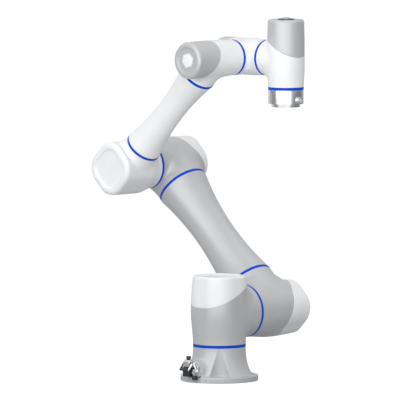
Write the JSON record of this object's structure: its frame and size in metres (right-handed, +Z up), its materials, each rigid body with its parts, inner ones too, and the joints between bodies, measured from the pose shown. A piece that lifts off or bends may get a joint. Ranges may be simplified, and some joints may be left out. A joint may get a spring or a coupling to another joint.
{
  "type": "collaborative robot arm",
  "caption": "Six-joint table-mounted robot arm with painted tubular housings, coloured joint rings, a round tool flange and a hand-guiding button.",
  "frame": {"origin": "centre of the base flange's mounting face", "axes": "+Z up along the base joint; the shoulder, elbow and first wrist joints turn about lines parallel to +Y; the forearm reaches towards +X"},
  "size_m": [0.4739, 0.3357, 0.7934],
  "materials": {
    "paint_grey": "satin",
    "paint_white": "satin",
    "ring_blue": "gloss",
    "drive_steel": "satin",
    "rotor_copper": "satin",
    "flange_alloy": "satin",
    "connector_metal": "satin",
    "black_plastic": "matte",
    "cable_black": "matte",
    "button_grey": "satin"
  },
  "bodies": {
    "base": {"base_casting": "paint_grey", "base_bottom_plate": "flange_alloy", "connector_plate": "flange_alloy", "plug_housing": "connector_metal", "plug_body": "black_plastic", "plug_knob": "black_plastic", "io_housing": "connector_metal", "io_gland": "black_plastic", "j1_output_flange": "drive_steel", "j1_ring": "ring_blue"},
    "latch": {"latch_lever": "connector_metal"},
    "shoulder": {"shoulder_housing": "paint_grey", "shoulder_cap": "paint_white", "j1_gear_unit": "drive_steel", "j2_output_flange": "drive_steel", "j2_ring": "ring_blue"},
    "upper_arm": {"upper_arm_lower_housing": "paint_grey", "upper_arm_lower_cap": "paint_white", "upper_arm_lower_ring": "ring_blue", "upper_arm_tube": "paint_grey", "upper_arm_upper_ring": "ring_blue", "upper_arm_elbow_housing": "paint_grey", "upper_arm_elbow_cap": "paint_white", "upper_arm_harness": "cable_black", "j2_gear_unit": "drive_steel", "j3_output_flange": "drive_steel", "j3_ring": "ring_blue"},
    "forearm": {"forearm_elbow_housing": "paint_white", "forearm_elbow_cap": "paint_white", "forearm_lower_ring": "ring_blue", "forearm_tube": "paint_white", "forearm_upper_ring": "ring_blue", "forearm_wrist_housing": "paint_white", "forearm_wrist_cap": "paint_grey", "forearm_badge": "paint_white", "forearm_harness": "cable_black", "j3_gear_unit": "drive_steel", "j4_gear_unit": "drive_steel"},
    "wrist_1": {"wrist_1_housing": "paint_white", "wrist_1_cap": "paint_grey", "j4_output_flange": "drive_steel", "j4_ring": "ring_blue", "j5_gear_unit": "drive_steel"},
    "wrist_2": {"wrist_2_housing": "paint_white", "wrist_2_cap": "paint_grey", "button_panel": "black_plastic", "cap_screws": "connector_metal", "j5_output_flange": "drive_steel", "j5_ring": "ring_blue", "j6_gear_unit": "drive_steel"},
    "button": {"drag_button": "button_grey"},
    "tool": {"tool_flange": "flange_alloy", "tool_connector": "connector_metal", "j6_ring": "ring_blue"},
    "rotor_1": {"j1_rotor": "rotor_copper"},
    "rotor_2": {"j2_rotor": "rotor_copper"},
    "rotor_3": {"j3_rotor": "rotor_copper"},
    "rotor_4": {"j4_rotor": "rotor_copper"},
    "rotor_5": {"j5_rotor": "rotor_copper"},
    "rotor_6": {"j6_rotor": "rotor_copper"}
  },
  "joints": [
    {"name": "base_turn", "type": "hinge", "parent": "base", "child": "shoulder", "pos_m": [0, 0, 0.0772], "axis": [0, 0, 1], "range_deg": [-360, 360]},
    {"name": "shoulder_lift", "type": "hinge", "parent": "shoulder", "child": "upper_arm", "pos_m": [0, 0.0774, 0.147], "axis": [0, 1, 0], "range_deg": [-360, 360]},
    {"name": "elbow_bend", "type": "hinge", "parent": "upper_arm", "child": "forearm", "pos_m": [-0.30194, 0.0842, 0.44893], "axis": [0, 1, 0], "range_deg": [-235, 50]},
    {"name": "wrist_1_turn", "type": "hinge", "parent": "forearm", "child": "wrist_1", "pos_m": [-0.0495, 0.0914, 0.70137], "axis": [0, 1, 0], "range_deg": [-360, 360]},
    {"name": "wrist_2_turn", "type": "hinge", "parent": "wrist_1", "child": "wrist_2", "pos_m": [0.0105, 0.141, 0.70137], "axis": [1, 0, 0], "range_deg": [-360, 360]},
    {"name": "tool_turn", "type": "hinge", "parent": "wrist_2", "child": "tool", "pos_m": [0.0665, 0.141, 0.63697], "axis": [0, 0, -1], "range_deg": [-360, 360]},
    {"name": "rotor_1_spin", "type": "hinge", "parent": "shoulder", "child": "rotor_1", "pos_m": [0, 0, 0.0772], "axis": [0, 0, 1], "range_deg": [-36010, 36010]},
    {"name": "rotor_2_spin", "type": "hinge", "parent": "upper_arm", "child": "rotor_2", "pos_m": [0, 0.0774, 0.147], "axis": [0, 1, 0], "range_deg": [-36010, 36010]},
    {"name": "rotor_3_spin", "type": "hinge", "parent": "forearm", "child": "rotor_3", "pos_m": [-0.30194, 0.0842, 0.44893], "axis": [0, 1, 0], "range_deg": [-23510, 5010]},
    {"name": "rotor_4_spin", "type": "hinge", "parent": "forearm", "child": "rotor_4", "pos_m": [-0.0495, 0.0914, 0.70137], "axis": [0, 1, 0], "range_deg": [-36010, 36010]},
    {"name": "rotor_5_spin", "type": "hinge", "parent": "wrist_1", "child": "rotor_5", "pos_m": [0.0105, 0.141, 0.70137], "axis": [1, 0, 0], "range_deg": [-36010, 36010]},
    {"name": "rotor_6_spin", "type": "hinge", "parent": "wrist_2", "child": "rotor_6", "pos_m": [0.0665, 0.141, 0.63697], "axis": [0, 0, -1], "range_deg": [-36010, 36010]},
    {"name": "button_press", "type": "slide", "parent": "wrist_2", "child": "button", "axis": [0, 0, -1], "range_m": [0, 0.0025], "stiffness_N_per_m": 800, "springref_m": -0.001},
    {"name": "latch_swing", "type": "hinge", "parent": "base", "child": "latch", "pos_m": [0, -0.088, 0.046], "axis": [-1, 0, 0], "range_deg": [0, 70]}
  ],
  "couplings": [
    {"joint": "rotor_1_spin", "follows": "base_turn", "ratio": 100},
    {"joint": "rotor_2_spin", "follows": "shoulder_lift", "ratio": 100},
    {"joint": "rotor_3_spin", "follows": "elbow_bend", "ratio": 100},
    {"joint": "rotor_4_spin", "follows": "wrist_1_turn", "ratio": -100},
    {"joint": "rotor_5_spin", "follows": "wrist_2_turn", "ratio": -100},
    {"joint": "rotor_6_spin", "follows": "tool_turn", "ratio": -100}
  ]
}
